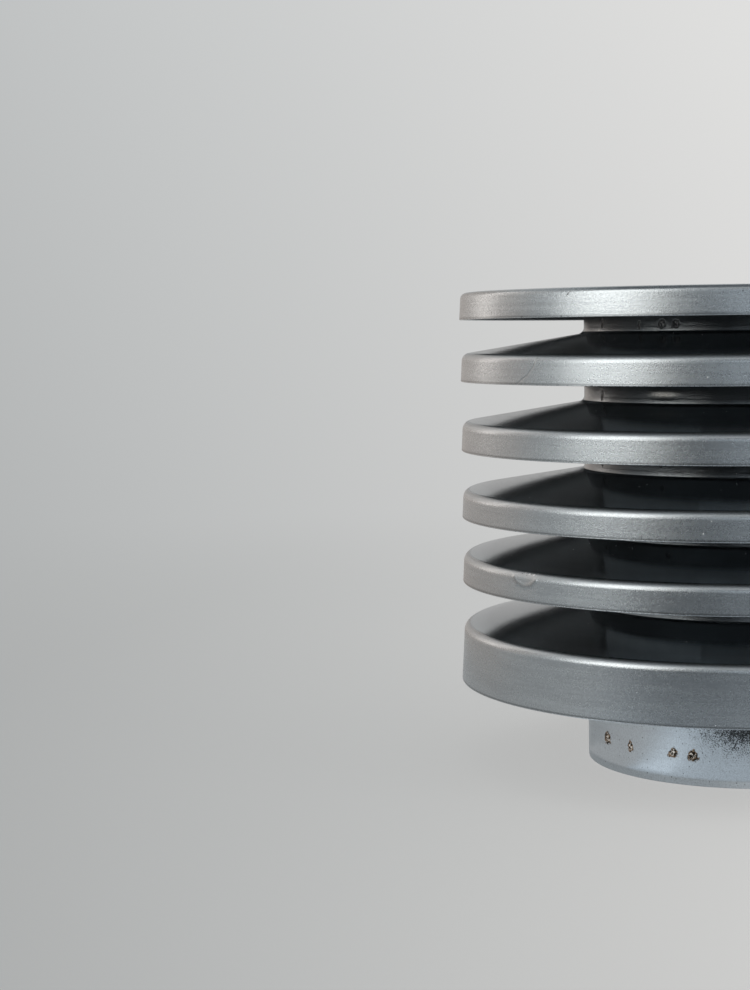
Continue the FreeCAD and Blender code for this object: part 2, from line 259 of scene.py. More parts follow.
class Shader:
    """A node tree under construction, with short calls for the nodes that the materials share."""

    def __init__(self, tree, output_kind):
        self.tree = tree
        self.tree.nodes.clear()
        self.output = self.node(output_kind)

    def node(self, kind, **settings):
        made = self.tree.nodes.new(kind)
        for key, setting in settings.items():
            setattr(made, key, setting)
        return made

    def put(self, socket, source):
        """Set a socket to a number or colour, or link it."""
        if isinstance(source, bpy.types.NodeSocket):
            self.tree.links.new(source, socket)
        else:
            socket.default_value = source

    def math(self, operation, *inputs, clamp=False):
        made = self.node("ShaderNodeMath", operation=operation, use_clamp=clamp)
        for socket, source in zip(made.inputs, inputs):
            self.put(socket, source)
        return made.outputs[0]

    def vector(self, operation, *inputs):
        made = self.node("ShaderNodeVectorMath", operation=operation)
        for socket, source in zip(made.inputs, inputs):
            self.put(socket, source)
        return made.outputs["Value" if operation in ("LENGTH", "DISTANCE", "DOT_PRODUCT") else "Vector"]

    def scale(self, vector, factor):
        made = self.node("ShaderNodeVectorMath", operation="SCALE")
        self.put(made.inputs[0], vector)
        self.put(made.inputs["Scale"], factor)
        return made.outputs[0]

    def combine(self, x, y, z):
        made = self.node("ShaderNodeCombineXYZ")
        for socket, source in zip(made.inputs, (x, y, z)):
            self.put(socket, source)
        return made.outputs[0]

    def split(self, source):
        made = self.node("ShaderNodeSeparateXYZ")
        self.put(made.inputs[0], source)
        return made.outputs

    def noise(self, vector, scale, detail=2.0, roughness=0.5, distortion=0.0):
        made = self.node("ShaderNodeTexNoise", noise_dimensions="3D")
        self.put(made.inputs["Vector"], vector)
        self.put(made.inputs["Scale"], scale)
        self.put(made.inputs["Detail"], detail)
        self.put(made.inputs["Roughness"], roughness)
        self.put(made.inputs["Distortion"], distortion)
        return made.outputs["Fac"]

    def span(self, source, low, high, to_low=0.0, to_high=1.0, smooth=True):
        """Map a value from one span to another, clamped."""
        made = self.node("ShaderNodeMapRange", interpolation_type="SMOOTHSTEP" if smooth else "LINEAR")
        self.put(made.inputs["Value"], source)
        self.put(made.inputs["From Min"], low)
        self.put(made.inputs["From Max"], high)
        self.put(made.inputs["To Min"], to_low)
        self.put(made.inputs["To Max"], to_high)
        return made.outputs["Result"]

    def swing(self, source, reach, middle, depth):
        """Noise as a value that swings by a depth either side of a middle, in straight proportion."""
        return self.span(source, 0.5 - reach, 0.5 + reach, middle - depth, middle + depth, False)

    def waver(self, source, noise, depth):
        """A value made uneven by noise, by up to half the depth either way."""
        return self.math("MULTIPLY_ADD", self.math("SUBTRACT", noise, 0.5), depth, source)

    def slope(self, source, low, high, gradient):
        """A value times a gradient, held level outside its limits."""
        return self.span(source, low, high, low * gradient, high * gradient, False)

    def mix(self, share, first, second):
        made = self.node("ShaderNodeMix", data_type="RGBA")
        self.put(made.inputs[0], share)
        self.put(made.inputs[6], first)
        self.put(made.inputs[7], second)
        return made.outputs[2]

    def bump(self, height, strength, distance, under=None):
        made = self.node("ShaderNodeBump")
        self.put(made.inputs["Height"], height)
        self.put(made.inputs["Strength"], strength)
        self.put(made.inputs["Distance"], distance)
        if under is not None:
            self.put(made.inputs["Normal"], under)
        return made.outputs["Normal"]


def new_material(name):
    """An empty material and the shader that fills it."""
    material = bpy.data.materials.new(name)
    material.use_nodes = True
    return material, Shader(material.node_tree, "ShaderNodeOutputMaterial")


def grey(level, red=1.0, green=1.0, blue=1.0):
    """A colour near a grey level."""
    return (level * red, level * green, level * blue, 1.0)


# Noise scales of the zinc, per metre, and how deep its grain goes.
GRAIN_SCALE = 2000.0
FLECK_SCALE = 620.0
CLOUD_SCALE = 26.0
GRAIN_TONE = 0.15
GRAIN_BUMP = 0.60
LINE_BUMP = 0.055
BUMP_HEIGHT = 0.00012
ANISOTROPY = 0.35
AXIS_HOLE = 0.002


def galvanised(name, colour, roughness, seed, marks=(), hatch=1.0, zones=None):
    """Satin galvanised sheet: zinc grain, turning lines round the axis, clouding, and a list of marks.

    The hatch says how strongly the turning lines show. The zones, if any, give for each part of the section
    the share of the tone that painted shade leaves, the dulling, how much of the grain shows, and the relief
    in metres.
    """
    material, s = new_material(name)
    place = s.node("ShaderNodeTexCoord").outputs["Object"]
    x, y, _ = s.split(place)
    span = s.split(s.node("ShaderNodeUVMap", uv_map="section").outputs["UV"])[1]
    radius = s.math("SQRT", s.math("ADD", s.math("MULTIPLY", x, x), s.math("MULTIPLY", y, y)))
    turned_x = s.math("DIVIDE", x, s.math("MAXIMUM", radius, AXIS_HOLE))
    turned_y = s.math("DIVIDE", y, s.math("MAXIMUM", radius, AXIS_HOLE))

    def lines(round_scale, across_scale, shift, detail):
        """Noise drawn out round the axis, with no seam."""
        across = s.math("MULTIPLY_ADD", span, across_scale, seed + shift)
        round_x = s.math("MULTIPLY", turned_x, round_scale)
        round_y = s.math("MULTIPLY", turned_y, round_scale)
        return s.noise(s.combine(round_x, round_y, across), 1.0, detail, 0.6)

    seeded = s.vector("ADD", place, (seed * 1.37, seed * 0.61, seed * 2.11))
    grain = s.noise(seeded, GRAIN_SCALE, 1.5, 0.6)
    flecks = s.noise(seeded, FLECK_SCALE, 3.0, 0.6)
    cloud = s.noise(seeded, CLOUD_SCALE, 3.0, 0.55, 0.4)
    # Each set of lines has its scale round the axis and across, its shift and its detail.
    fine_lines = lines(7.0, 1500.0, 0.0, 3.0)
    broad_lines = lines(3.0, 320.0, 31.0, 2.0)
    long_lines = lines(0.8, 700.0, 67.0, 1.0)
    bands = lines(1.6, 110.0, 93.0, 2.0)

    tone = s.swing(grain, 0.2, 1.0, GRAIN_TONE)
    for source, reach, depth in (
        (flecks, 0.2, 0.02),
        (cloud, 0.25, 0.012),
        (fine_lines, 0.2, 0.035 * hatch),
        (broad_lines, 0.2, 0.035 * hatch),
        (long_lines, 0.2, 0.03 * hatch),
        (bands, 0.2, 0.015 * hatch * hatch),
    ):
        tone = s.math("MULTIPLY", tone, s.swing(source, reach, 1.0, depth))
    # The zones' share of the tone is painted shade that darkens the colour.
    share, dulling, showing, relief = zones(s, place, radius, span, cloud) if zones else (1.0, 0.0, 1.0, None)
    base = s.scale(colour, s.math("MULTIPLY", tone, share))

    rough = roughness
    for source, reach, depth in (
        (flecks, 0.2, 0.015),
        (cloud, 0.25, 0.006),
        (bands, 0.2, 0.006 * hatch),
        (broad_lines, 0.2, 0.015 * hatch),
    ):
        rough = s.math("ADD", rough, s.swing(source, reach, 0.0, depth))
    rough = s.math("ADD", rough, dulling)

    height = s.math("ADD", s.math("MULTIPLY", grain, 0.9), s.math("MULTIPLY", flecks, 0.15))
    normal = s.bump(height, s.math("MULTIPLY", showing, GRAIN_BUMP), BUMP_HEIGHT)
    line_depth = s.math("MULTIPLY", showing, LINE_BUMP * hatch)
    normal = s.bump(s.math("ADD", fine_lines, broad_lines), line_depth, BUMP_HEIGHT, normal)
    if relief is not None:
        normal = s.bump(relief, 1.0, 1.0, normal)

    for mark in marks:
        base, rough, normal = mark(s, place, seed, base, rough, normal)

    surface = s.node("ShaderNodeBsdfPrincipled")
    tangent = s.node("ShaderNodeTangent", direction_type="RADIAL", axis="Z")
    s.put(surface.inputs["Base Color"], base)
    surface.inputs["Metallic"].default_value = 1.0
    s.put(surface.inputs["Roughness"], rough)
    surface.inputs["Anisotropic"].default_value = ANISOTROPY
    s.put(surface.inputs["Tangent"], tangent.outputs[0])
    s.put(surface.inputs["Normal"], normal)
    s.put(s.output.inputs["Surface"], surface.outputs[0])
    return material


def face_length(section, corner_radius, corner_height):
    """How far round a section, in metres, the point nearest to a place in it lies."""
    target = Vector((corner_radius, corner_height))
    nearest = min(range(len(section)), key=lambda index: (section[index] - target).length)
    steps = [(b - a).length for a, b in zip(section, section[1:])]
    return sum(steps[:nearest]) * MM


# How the metal differs over a section. A tone is the share of the skirt's own colour left by painted shade,
# the inside faces lose a share of theirs to painted shade, and rough and smooth say how far the roughness
# rises and falls.
INSIDE_SHADE = 0.48
INSIDE_ROUGH = 0.40
EDGE_SHADE = 0.55
CONE_SHADE = 0.72
CONE_SMOOTH = 0.15
CONE_GRAIN = 0.2
COLLAR_SHADE = 0.80
COLLAR_SMOOTH = 0.08
SHOULDER_ROUGH = 0.10

# How far each zone fades in and out, in metres: round the section, then from the axis.
INSIDE_START = 0.0006
INSIDE_END = (0.0012, 0.0018)
EDGE_FADE = (0.0002, 0.0011)
COLLAR_EDGE = (0.084, 0.0812)
CONE_START = (0.0812, 0.084)
CONE_END = (0.1382, 0.1366)
SHOULDER_START = (0.1362, 0.1372)
SHOULDER_END = (0.1398, 0.1390)
CONE_SHADE_FADE = (0.124, 0.136)
COLLAR_SHADE_FADE = (0.0815, 0.088)
FADE_WAVES = 0.006

# The collars' lean, the flat at the foot of each collar in millimetres, and the collars' ripples.
COLLAR_LEAN = math.radians(8.0)
TOP_COLLAR_LEAN = math.radians(5.0)
COVE_FLAT = 2.2
RIPPLE_SCALE = 340.0
RIPPLE_DEPTH = 0.00008


def painted_shade_zones(section, top_place, cove_place=None, lean=0.0):
    """Painted shade on the inside faces, the skirts' lowest edges, the cones and the collars, with rougher
    inside faces, smoother cones, and collars that lean a little and ripple all round.
    """
    turn_in = face_length(section, *top_place)
    whole = sum((b - a).length for a, b in zip(section, section[1:])) * MM

    def zones(s, place, radius, span, cloud):
        past_top = s.span(span, turn_in, turn_in + INSIDE_START)
        before_end = s.span(span, whole - INSIDE_END[0], whole - INSIDE_END[1])
        inside = s.math("MULTIPLY", past_top, before_end)
        # Painted shade: the inside faces lose a share of their colour.
        share = s.math("SUBTRACT", 1.0, s.math("MULTIPLY", inside, INSIDE_SHADE))
        dulling = s.math("MULTIPLY", inside, INSIDE_ROUGH)
        off_edge = s.span(span, *EDGE_FADE)
        # Painted shade: the lowest millimetre of the skirt's outer face is darker.
        share = s.math("MULTIPLY", share, s.math("MULTIPLY_ADD", off_edge, 1.0 - EDGE_SHADE, EDGE_SHADE))
        if cove_place is None:
            return share, dulling, off_edge, None
        wavy = s.waver(radius, cloud, FADE_WAVES)
        cone = s.math("MULTIPLY", s.span(radius, *CONE_END), s.span(radius, *CONE_START))
        collar = s.span(radius, *COLLAR_EDGE)
        # Painted shade: the cones darken inwards, and the collars and their coves darker still, with wavy
        # bounds.
        share = s.math("MULTIPLY", share, s.span(wavy, *CONE_SHADE_FADE, CONE_SHADE, 1.0))
        share = s.math("MULTIPLY", share, s.span(wavy, *COLLAR_SHADE_FADE, COLLAR_SHADE, 1.0))
        dulling = s.math("MULTIPLY_ADD", cone, -CONE_SMOOTH, dulling)
        dulling = s.math("MULTIPLY_ADD", collar, -COLLAR_SMOOTH, dulling)
        shoulder = s.math("MULTIPLY", s.span(radius, *SHOULDER_END), s.span(radius, *SHOULDER_START))
        dulling = s.math("MULTIPLY_ADD", shoulder, SHOULDER_ROUGH, dulling)
        showing = s.math("MULTIPLY", s.math("MULTIPLY_ADD", cone, CONE_GRAIN - 1.0, 1.0), off_edge)
        over_cove = s.math("SUBTRACT", span, face_length(section, *cove_place))
        above_cove = s.math("MAXIMUM", s.math("ADD", over_cove, COVE_FLAT * MM), 0.0)
        below_cove = s.math("MAXIMUM", s.math("MULTIPLY", over_cove, -1.0), 0.0)
        in_cove = s.math("MINIMUM", below_cove, COVE_FLAT * MM)
        turned = s.math("COSINE", s.math("DIVIDE", in_cove, COVE_BEND * MM))
        flattened = s.math("MULTIPLY", s.math("LOGARITHM", turned, math.e), COVE_BEND * MM)
        x, y, _ = s.split(place)
        round_place = s.combine(s.math("MULTIPLY", x, RIPPLE_SCALE), s.math("MULTIPLY", y, RIPPLE_SCALE), 0.0)
        ripple_depth = s.math("MULTIPLY", collar, RIPPLE_DEPTH)
        ripple = s.math("MULTIPLY", s.noise(round_place, 1.0, 2.0, 0.5), ripple_depth)
        relief = s.math("MULTIPLY_ADD", above_cove, -math.tan(lean), s.math("ADD", ripple, flattened))
        return share, dulling, showing, relief

    return zones


# Marks on the metal

def on_surface(radius, azimuth, height):
    """A point on a turned face, in metres, from millimetres and degrees."""
    turned = math.radians(azimuth)
    return Vector((-math.sin(turned) * radius, -math.cos(turned) * radius, height)) * MM


def azimuth_of(s, place):
    """Degrees round from the front towards -X."""
    x, y, _ = s.split(place)
    return s.math("DEGREES", s.math("ARCTAN2", s.math("MULTIPLY", x, -1.0), s.math("MULTIPLY", y, -1.0)))


def unrolled(s, place, radius):
    """Metres round a tube from the front and up, as one vector."""
    around = s.math("MULTIPLY", azimuth_of(s, place), math.radians(radius * MM))
    return s.combine(around, s.split(place)[2], 0.0)


def strap_coordinates(s, place, radius):
    """Millimetres round from the nearest strap's middle and up, as one vector."""
    # Two whole turns are added, because the remainder of a negative angle would be negative.
    from_strap = s.math("ADD", azimuth_of(s, place), 720.0 + STRAP_STEP / 2 - STRAP_AZIMUTH)
    nearest = s.math("SUBTRACT", s.math("MODULO", from_strap, STRAP_STEP), STRAP_STEP / 2)
    around = s.math("MULTIPLY", nearest, math.radians(radius))
    return s.combine(around, s.math("DIVIDE", s.split(place)[2], MM), 0.0)


# A weld mark's rim and middle, in shares of its half size, and where in its noise it is brown and bright.
WELD_RIM = (1.05, 0.80)
WELD_MIDDLE = (0.66, 0.42)
WELD_BROWN = (0.47, 0.53)
WELD_BRIGHT = (0.50, 0.56)
WELD_GRAIN = 900.0
WELD_ROUGH = 0.22
WELD_BUMP = 0.45
WELD_DEPTH = 0.0005


def welds(radius, height, spots, strength, tones, raggedness=1.2, taper=0.0):
    """A row of spot-weld marks on each strap: spots of (azimuth, rise, width, height), in degrees and mm.

    The tones are the burnt rim, the brown between, and the bright metal in the middle. The taper narrows a
    spot towards its top.
    """

    def apply(s, place, seed, base, rough, normal):
        flat = strap_coordinates(s, place, radius)
        rags = s.noise(s.vector("ADD", place, (seed, 3.1, 1.7)), FLECK_SCALE, 3.0, 0.75)
        nearest = None
        for azimuth, rise, wide, high in spots:
            centre = ((azimuth - STRAP_AZIMUTH) * math.radians(radius), height + rise, 0.0)
            offset = s.vector("MULTIPLY", s.vector("SUBTRACT", flat, centre), (2.0 / wide, 2.0 / high, 0.0))
            across, up, _ = s.split(offset)
            widened = s.math("MULTIPLY", across, s.math("MULTIPLY_ADD", up, taper, 1.0))
            reach = s.vector("LENGTH", s.combine(widened, up, 0.0))
            nearest = reach if nearest is None else s.math("MINIMUM", nearest, reach)
        ragged = s.waver(nearest, rags, raggedness)
        scorch = s.span(ragged, *WELD_RIM)
        core = s.noise(s.vector("ADD", place, (seed, 9.7, 4.3)), WELD_GRAIN, 2.0, 0.6)
        burnt, brown, bright = tones
        tone = s.mix(s.span(core, *WELD_BROWN), burnt, brown)
        middle = s.math("MULTIPLY", s.span(core, *WELD_BRIGHT), s.span(ragged, *WELD_MIDDLE))
        tone = s.mix(middle, tone, bright)
        base = s.mix(s.math("MULTIPLY", scorch, strength), base, tone)
        rough = s.math("MULTIPLY_ADD", scorch, WELD_ROUGH, rough)
        crater = s.math("MULTIPLY", scorch, s.math("SUBTRACT", core, 1.0))
        normal = s.bump(crater, WELD_BUMP, WELD_DEPTH, normal)
        return base, rough, normal

    return apply


def distance_from_line(s, place, corners, join="MINIMUM", *blend):
    """How far a place is from a line through points, in metres. SMOOTH_MIN needs a width to blend over."""
    nearest = None
    for a, b in zip(corners, corners[1:]):
        along = b - a
        from_a = s.vector("SUBTRACT", place, tuple(a))
        dot = s.vector("DOT_PRODUCT", from_a, tuple(along))
        share = s.math("DIVIDE", dot, along.length_squared, clamp=True)
        reach = s.vector("DISTANCE", from_a, s.scale(tuple(along), share))
        nearest = reach if nearest is None else s.math(join, nearest, reach, *blend)
    return nearest


SCRATCH_TONE = grey(0.06)
SCRATCH_NOISE = 400.0
SCRATCH_WAVES = 0.9
SCRATCH_CORE = 0.25
SCRATCH_ROUGH = 0.15
SCRATCH_BUMP = 0.45
SCRATCH_DEPTH = 0.0002


def scratch(radius, points, width, darkness):
    """A fine scratch through points of (azimuth, height) on a face whose radius is given for each height."""

    def apply(s, place, seed, base, rough, normal):
        corners = [on_surface(radius(height), azimuth, height) for azimuth, height in points]
        nearest = distance_from_line(s, place, corners)
        wavy = s.waver(nearest, s.noise(place, SCRATCH_NOISE, 2.0, 0.5), width * MM * SCRATCH_WAVES)
        line = s.span(wavy, width * MM, width * MM * SCRATCH_CORE)
        base = s.mix(s.math("MULTIPLY", line, darkness), base, SCRATCH_TONE)
        rough = s.math("MULTIPLY_ADD", line, SCRATCH_ROUGH, rough)
        normal = s.bump(s.math("MULTIPLY", line, -1.0), SCRATCH_BUMP, SCRATCH_DEPTH, normal)
        return base, rough, normal

    return apply


CREASE_SHADE_TONE = grey(0.14)
CREASE_NOISE = 300.0
CREASE_SHADE = 0.34
CREASE_BLEND = 0.0012
CREASE_WAVES = 0.0005
CREASE_FURROW = (0.5, 0.1)
CREASE_BUMP = 0.5
CREASE_HEIGHT = 0.0004


def crease(radius, points, width):
    """The raised edge of a shallow dent, through points of (azimuth, height), with painted shade in the
    furrow beside it.
    """

    def apply(s, place, seed, base, rough, normal):
        corners = [on_surface(radius(height), azimuth, height) for azimuth, height in points]
        nearest = distance_from_line(s, place, corners, "SMOOTH_MIN", CREASE_BLEND)
        wavy = s.waver(nearest, s.noise(place, CREASE_NOISE, 2.0, 0.5), CREASE_WAVES)
        line = s.span(wavy, width * MM, 0.0)
        furrow_shade = s.span(wavy, width * MM * CREASE_FURROW[0], width * MM * CREASE_FURROW[1])
        # Painted shade darkens the furrow along the crease.
        base = s.mix(s.math("MULTIPLY", furrow_shade, CREASE_SHADE), base, CREASE_SHADE_TONE)
        normal = s.bump(line, CREASE_BUMP, CREASE_HEIGHT, normal)
        return base, rough, normal

    return apply


# Where spatter ends: away from its thin side, in degrees, and above its thickest part, in millimetres.
SPATTER_END = (-55.0, -30.0)
SPATTER_TOP = (9.0, 3.0)

# Spatter shows where fine noise, made uneven by coarse noise, passes a threshold. More spatter lowers it.
SPATTER_AND_SHADE_TONE = grey(0.018)
SPATTER_DARKNESS = 0.93
SPATTER_ROUGH = 0.2
SPATTER_DOTS = 2100.0
SPATTER_PATCHES = 330.0
SPATTER_UNEVEN = 0.2
SPATTER_THRESHOLD = 0.70
SPATTER_FALL = 0.34
SPATTER_DOT_EDGE = (0.0, 0.05)
SPATTER_LEAST = (0.02, 0.10)


def spatter_and_shade(from_azimuth, to_azimuth, low, high):
    """Fine black weld spatter that thins out downwards and to the left of where it starts, and whose nearly
    solid black top, under the base ring, is partly painted shade.
    """

    def apply(s, place, seed, base, rough, normal):
        azimuth = azimuth_of(s, place)
        thinning = s.span(azimuth, to_azimuth, from_azimuth, smooth=False)
        across = s.math("MULTIPLY", thinning, s.span(azimuth, *SPATTER_END))
        risen = s.math("DIVIDE", s.split(place)[2], MM)
        thickening = s.span(risen, low, high, smooth=False)
        top = s.span(risen, high + SPATTER_TOP[0], high + SPATTER_TOP[1])
        amount = s.math("MULTIPLY", across, s.math("MULTIPLY", thickening, top))
        fine = s.noise(place, SPATTER_DOTS, 2.0, 0.7)
        coarse = s.noise(place, SPATTER_PATCHES, 2.0, 0.5)
        threshold = s.math("SUBTRACT", SPATTER_THRESHOLD, s.math("MULTIPLY", amount, SPATTER_FALL))
        dots = s.math("SUBTRACT", s.waver(fine, coarse, SPATTER_UNEVEN), threshold)
        # Painted shade in part: where the spatter is densest, near its top, it darkens to nearly solid black.
        soot_and_shade = s.math("MULTIPLY", s.span(dots, *SPATTER_DOT_EDGE), s.span(amount, *SPATTER_LEAST))
        base = s.mix(s.math("MULTIPLY", soot_and_shade, SPATTER_DARKNESS), base, SPATTER_AND_SHADE_TONE)
        rough = s.math("MULTIPLY_ADD", soot_and_shade, SPATTER_ROUGH, rough)
        return base, rough, normal

    return apply


SPECK_DARKNESS = 0.75
SPECK_CORE = 0.4


def specks(radius, spots, tone=grey(0.05)):
    """Small pits, or bright nicks, at (azimuth, height, size)."""

    def apply(s, place, seed, base, rough, normal):
        for azimuth, height, size in spots:
            reach = s.vector("DISTANCE", place, tuple(on_surface(radius(height), azimuth, height)))
            pit = s.span(reach, size * MM, size * MM * SPECK_CORE)
            base = s.mix(s.math("MULTIPLY", pit, SPECK_DARKNESS), base, tone)
        return base, rough, normal

    return apply


SHINE_UPRIGHT = 0.58
SHINE_HIGHLIGHT_SHARE = 0.3
SHINE_HIGHLIGHT_TONE = grey(0.7, 1.0, 0.91, 0.78)


def shine(radius, azimuth, height, wide, high):
    """A patch on a collar, more upright than the rest, which leans, with its colour lightened and warmed as a
    painted highlight.
    """

    def apply(s, place, seed, base, rough, normal):
        centre = on_surface(radius, azimuth, height)
        x, y, z = s.split(s.vector("SUBTRACT", place, tuple(centre)))
        scales = (1.0 / (wide * MM), 1.0 / (wide * MM), 1.0 / (high * MM))
        reach = s.vector("LENGTH", s.vector("MULTIPLY", s.combine(x, y, z), scales))
        patch = s.span(reach, 1.0, 0.0)
        upright = s.math("MULTIPLY", patch, s.math("MULTIPLY", z, math.tan(COLLAR_LEAN) * SHINE_UPRIGHT))
        normal = s.bump(upright, 1.0, 1.0, normal)
        # Painted highlight: the patch's colour is lightened and warmed.
        base = s.mix(s.math("MULTIPLY", patch, SHINE_HIGHLIGHT_SHARE), base, SHINE_HIGHLIGHT_TONE)
        return base, rough, normal

    return apply


# The least size of a scattered speck, in shares of its cell, and how much more the largest one has.
FLY_SPECK_LEAST = 0.05
FLY_SPECK_MORE = 0.07


def fly_specks(density, darkness, cell, radius=None, tone=grey(0.04), dusty=0.0):
    """Scattered specks, at most one in each cell of some millimetres, in space or on a tube of a radius."""

    def apply(s, place, seed, base, rough, normal):
        if radius is None:
            cells = s.node("ShaderNodeTexVoronoi", voronoi_dimensions="3D")
            spread = s.vector("ADD", place, (seed * 0.7, 0.3, 0.9))
        else:
            cells = s.node("ShaderNodeTexVoronoi", voronoi_dimensions="2D")
            spread = unrolled(s, place, radius)
        s.put(cells.inputs["Vector"], spread)
        cells.inputs["Scale"].default_value = 1.0 / (cell * MM)
        draw, draw_size, _ = s.split(cells.outputs["Color"])
        chosen = s.math("GREATER_THAN", draw, 1.0 - density)
        size = s.math("MULTIPLY_ADD", draw_size, FLY_SPECK_MORE, FLY_SPECK_LEAST)
        spot = s.span(s.math("DIVIDE", cells.outputs["Distance"], size), 1.0, 0.5)
        amount = s.math("MULTIPLY", s.math("MULTIPLY", spot, chosen), darkness)
        base = s.mix(amount, base, tone)
        rough = s.math("MULTIPLY_ADD", amount, dusty, rough)
        return base, rough, normal

    return apply


def skirt_radius(radius, skirt, bend):
    """How far out a skirt's face is at a height above its lower edge, its shoulder's bend taken in."""
    bend_start = skirt - bend * math.tan(math.radians(45.0) - CONE_SLOPE / 2)

    def outside(height):
        over = min(max(height - bend_start, 0.0), bend)
        bent_in = bend - math.sqrt(bend ** 2 - over ** 2)
        return radius - height * math.tan(SKIRT_DRAFT) - bent_in

    return outside


# Build

def lowest(node):
    """The height of a solid's lower edge, in metres."""
    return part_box(node)[0].z


def outer_radius(node):
    """How far out a solid reaches, in millimetres."""
    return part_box(node)[1].x / MM


# The metal's colours and roughness.
SHEET_GREY = (0.452, 0.485, 0.508)
SPIGOT_GREY = (0.575, 0.625, 0.665)
STRAP_GREY = (0.68, 0.73, 0.77)
RING_ROUGH = 0.27
SPIGOT_ROUGH = 0.36
STRAP_ROUGH = 0.72
CAP_HATCH = 1.6
SPIGOT_HATCH = 0.5

# Weld marks as (azimuth, rise, width, height), in degrees and millimetres, and their tones.
RING_WELD_RISE = 3.0
RING_WELD_STRENGTH = 0.8
RING_WELDS = {
    "louvre_ring_4": [
        (58.3, 0.4, 2.6, 5.0),
        (38.6, -0.4, 2.4, 4.4),
        (29.5, 0.0, 4.4, 4.6),
        (24.4, 0.0, 4.6, 4.2),
    ],
    "louvre_ring_3": [(58.6, 0.7, 2.6, 6.0)],
    "louvre_ring_2": [(58.9, 1.6, 2.2, 5.0), (30.2, 1.6, 2.4, 2.6)],
    "louvre_ring_1": [(57.6, 1.6, 2.4, 4.0), (28.0, 1.6, 2.8, 3.2)],
}
SPIGOT_WELDS = [(58.0, 1.0, 6.6, 6.4), (44.4, 0.3, 3.6, 6.2), (26.4, 0.6, 4.6, 5.2), (19.2, 0.1, 5.6, 5.4)]
SPIGOT_WELD_HEIGHT = 13.9
SPIGOT_BURNT = (grey(0.028, 1.0, 0.78, 0.6), grey(0.30, 1.0, 0.70, 0.46), grey(0.90, 1.0, 0.95, 0.88))
RING_BURNT = (grey(0.02), grey(0.10), grey(0.35))

# Marks of handling: lines as (azimuth, height) and specks as (azimuth, height, size).
RING_SKIRT = skirt_radius(LOUVRE_OUTSIDE, LOUVRE_SKIRT - USUAL_DROP, SHOULDER_BEND)
CAP_SIDE = skirt_radius(CAP_OUTSIDE, CAP_SKIRT, CAP_BEND)
LONG_SCRATCH = [(41.7, 12.0), (42.5, 8.2), (44.1, 4.4), (45.8, 2.3), (46.9, 0.7)]
DENT_CREASE = [(48.9, 10.6), (47.9, 8.2), (45.6, 7.0), (43.6, 8.0), (42.5, 10.2)]
DENT_PITS = [(45.4, 12.1, 0.6), (44.2, 12.6, 0.5), (46.8, 12.4, 0.5)]
DENT_NICKS = [(44.8, 12.8, 0.7), (43.4, 12.6, 0.8), (42.6, 13.1, 0.6), (46.1, 13.0, 0.6)]
RING_MARKS = {
    "louvre_ring_4": [
        scratch(RING_SKIRT, LONG_SCRATCH, width=0.7, darkness=0.34),
        specks(RING_SKIRT, [(58.9, 4.9, 0.5)]),
    ],
    "louvre_ring_3": [shine(COLLAR_OUTSIDE, azimuth=28.9, height=28.0, wide=13.0, high=3.2)],
    "louvre_ring_1": [
        crease(RING_SKIRT, DENT_CREASE, width=1.8),
        specks(RING_SKIRT, DENT_PITS),
        specks(RING_SKIRT, DENT_NICKS, grey(0.95)),
    ],
}

# The dent's place as (azimuth, height), its reach and depth in millimetres, and how many reaches it goes.
DENT_PLACE = (45.3, 10.6)
DENT_REACH = 4.6
DENT_DEPTH = 0.35
DENT_END = 3.0


def dented():
    """A shape for spin: a shallow knock in a skirt just under its shoulder."""
    centre = on_surface(LOUVRE_OUTSIDE - DENT_PLACE[1] * math.tan(SKIRT_DRAFT), *DENT_PLACE)

    def shape(place):
        reach = (place - centre).length / (DENT_REACH * MM)
        if reach > DENT_END:
            return place
        push = DENT_DEPTH * MM * math.exp(-reach * reach)
        across = Vector((place.x, place.y, 0.0)).normalized()
        return place - across * push

    return shape


def build_rings():
    """The five spun rings, lowest first."""
    cove_height = COVE_BEND * math.tan(math.radians(45.0) - CONE_SLOPE / 2)
    top_ring = list(SHOULDER_DROP)[-1]
    for number, (node, drop) in enumerate(SHOULDER_DROP.items()):
        radius = outer_radius(node)
        skirt = BASE_SKIRT if node == "base_ring" else LOUVRE_SKIRT
        section = ring_section(radius, skirt, drop)
        if node == "louvre_ring_1":
            piece = spin(f"{node}_spun", section, DENTED_SEGMENTS, shape=dented())
        else:
            piece = spin(f"{node}_spun", section, SEGMENTS)
        seat(piece, node, lowest(node))
        nominal_foot = cone_foot(radius, skirt)
        dirt = fly_specks(density=0.06, darkness=0.5, cell=4.8)
        dust = fly_specks(density=0.10, darkness=0.9, cell=3.3, tone=grey(1.0), dusty=0.6)
        marks = [dirt, dust] + RING_MARKS.get(node, [])
        if node != "base_ring":
            weld_height = nominal_foot + RING_WELD_RISE
            marks.append(welds(COLLAR_OUTSIDE, weld_height, RING_WELDS[node], RING_WELD_STRENGTH, RING_BURNT))
        collar_top = (COLLAR_OUTSIDE - SHEET / 2, nominal_foot + COLLAR_RISE)
        collar_foot = (COLLAR_OUTSIDE, cone_foot(radius, skirt - drop) + cove_height)
        lean = TOP_COLLAR_LEAN if node == top_ring else COLLAR_LEAN
        zones = painted_shade_zones(section, collar_top, collar_foot, lean)
        seed = 3.0 + 5.3 * number
        metal = galvanised(f"{node}_metal", SHEET_GREY, RING_ROUGH, seed, marks, zones=zones)
        piece.data.materials.append(metal)


def section_top(section):
    """The highest point of a section."""
    return max(point.y for point in section)


